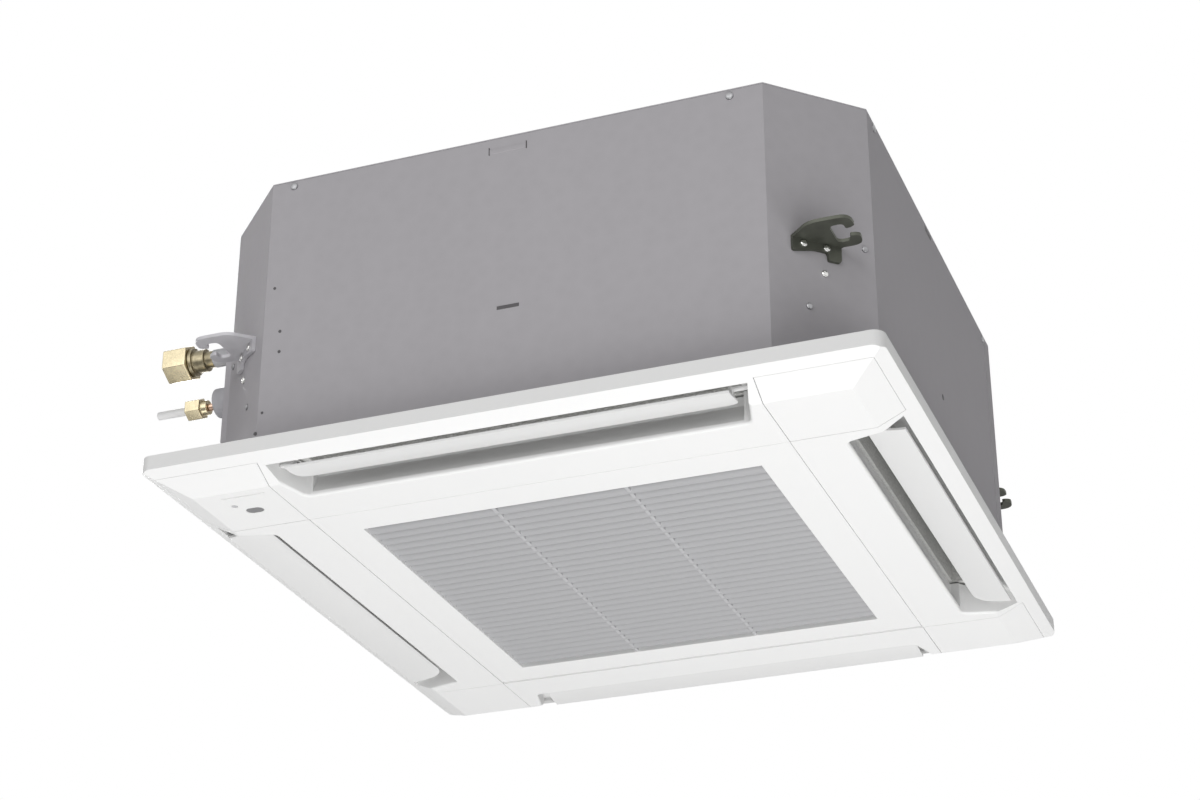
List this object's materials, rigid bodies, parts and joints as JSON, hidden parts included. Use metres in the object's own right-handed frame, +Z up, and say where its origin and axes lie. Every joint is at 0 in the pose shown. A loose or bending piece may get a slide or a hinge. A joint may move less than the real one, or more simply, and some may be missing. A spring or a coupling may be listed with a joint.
{
  "type": "ceiling cassette air conditioner",
  "caption": "Square steel casing hung above a ceiling, with a low bevelled white panel: central hinged slatted intake grille and a louvred air outlet along each side.",
  "frame": {"origin": "middle of the panel's upper face, where it meets the ceiling's underside", "axes": "+Z up, +X along the panel's front edge to the right seen from the room, +Y towards the panel's back edge; the pipes are on the -X side"},
  "size_m": [0.672, 0.62, 0.2815],
  "materials": {
    "panel_white": "satin moulded white plastic",
    "grille_grey": "satin moulded light grey plastic",
    "black_plastic": "dark moulded plastic",
    "grey_plastic": "satin moulded grey plastic",
    "casing_steel": "spangled galvanised steel sheet",
    "hanger_steel": "galvanised steel bracket",
    "inner_steel": "plain galvanised sheet",
    "white_foam": "expanded foam",
    "dark_foam": "closed-cell insulation",
    "filter_net": "woven plastic net",
    "copper": "drawn copper tube",
    "brass": "machined brass",
    "aluminium": "plain aluminium",
    "motor_paint": "dark painted motor housing",
    "board": "circuit board",
    "nickel": "bright plated screw",
    "hanger_zinc": "bright galvanised steel bracket",
    "wrapped_tube": "pale wrapped pipe"
  },
  "bodies": {
    "unit": {"panel_frame": "panel_white", "receiver_housing": "black_plastic", "receiver_window": "black_plastic", "casing_wall": "casing_steel", "top_plate": "casing_steel", "foam_liner": "white_foam", "drain_pan": "white_foam", "bell_mouth": "black_plastic", "fan_motor": "motor_paint", "motor_bracket": "inner_steel", "heat_exchanger": "aluminium", "gas_pipe": "wrapped_tube", "liquid_pipe": "copper", "pipe_plate": "casing_steel", "pipe_sleeve": "dark_foam", "gas_union": "brass", "gas_flare_nut": "brass", "liquid_flare_nut": "brass", "liquid_cap": "panel_white", "drain_pump": "grey_plastic", "pump_hose": "grey_plastic", "drain_port": "grey_plastic", "float_stem": "panel_white", "control_box": "inner_steel", "control_box_lid": "inner_steel", "control_board": "board", "terminal_block": "black_plastic", "cable_gland": "black_plastic", "corner_cover_front_right": "panel_white", "hanger_front_right": "hanger_steel", "panel_screw_front_right": "nickel", "corner_cover_back_right": "panel_white", "hanger_back_right": "hanger_steel", "panel_screw_back_right": "nickel", "corner_cover_back_left": "panel_white", "hanger_back_left": "hanger_steel", "panel_screw_back_left": "nickel", "corner_cover_front_left": "panel_white", "hanger_front_left": "hanger_zinc", "panel_screw_front_left": "nickel", "flap_motor_front": "grey_plastic", "flap_motor_right": "grey_plastic", "flap_motor_back": "grey_plastic", "flap_motor_left": "grey_plastic", "grille_pin_left": "grey_plastic", "grille_pin_right": "grey_plastic"},
    "fan": {"turbo_fan": "grey_plastic", "fan_shaft": "nickel", "fan_nut": "brass"},
    "grille": {"intake_grille": "grille_grey", "air_filter": "filter_net"},
    "float": {"float": "panel_white"},
    "test_button": {"test_button": "grey_plastic"},
    "push_catch_left": {"push_catch_left": "grey_plastic"},
    "push_catch_right": {"push_catch_right": "grey_plastic"},
    "flap_front": {"flap_front": "panel_white"},
    "flap_right": {"flap_right": "panel_white"},
    "flap_back": {"flap_back": "panel_white"},
    "flap_left": {"flap_left": "panel_white"}
  },
  "joints": [
    {"name": "fan_spin", "type": "hinge", "parent": "unit", "child": "fan", "pos_m": [0, 0, 0.16], "axis": [0, 0, 1], "continuous": true},
    {"name": "grille_swing", "type": "hinge", "parent": "unit", "child": "grille", "pos_m": [0, 0.2027, -0.0245], "axis": [1, 0, 0], "range_deg": [0, 90]},
    {"name": "flap_front_swing", "type": "hinge", "parent": "unit", "child": "flap_front", "pos_m": [0, -0.2785, -0.013], "axis": [1, 0, 0], "range_deg": [-20, 45]},
    {"name": "flap_right_swing", "type": "hinge", "parent": "unit", "child": "flap_right", "pos_m": [0.2785, 0, -0.013], "axis": [0, 1, 0], "range_deg": [-20, 45]},
    {"name": "flap_back_swing", "type": "hinge", "parent": "unit", "child": "flap_back", "pos_m": [0, 0.2785, -0.013], "axis": [-1, 0, 0], "range_deg": [-20, 45]},
    {"name": "flap_left_swing", "type": "hinge", "parent": "unit", "child": "flap_left", "pos_m": [-0.2785, 0, -0.013], "axis": [0, -1, 0], "range_deg": [-20, 45]},
    {"name": "float_rise", "type": "slide", "parent": "unit", "child": "float", "axis": [0, 0, 1], "range_m": [0, 0.012]},
    {"name": "test_button_press", "type": "slide", "parent": "unit", "child": "test_button", "axis": [0, 0, 1], "range_m": [0, 0.0012], "stiffness_N_per_m": 400, "springref_m": -0.001},
    {"name": "push_catch_left_press", "type": "slide", "parent": "unit", "child": "push_catch_left", "axis": [0, 0, 1], "range_m": [0, 0.003], "stiffness_N_per_m": 800, "springref_m": -0.001},
    {"name": "push_catch_right_press", "type": "slide", "parent": "unit", "child": "push_catch_right", "axis": [0, 0, 1], "range_m": [0, 0.003], "stiffness_N_per_m": 800, "springref_m": -0.001}
  ]
}
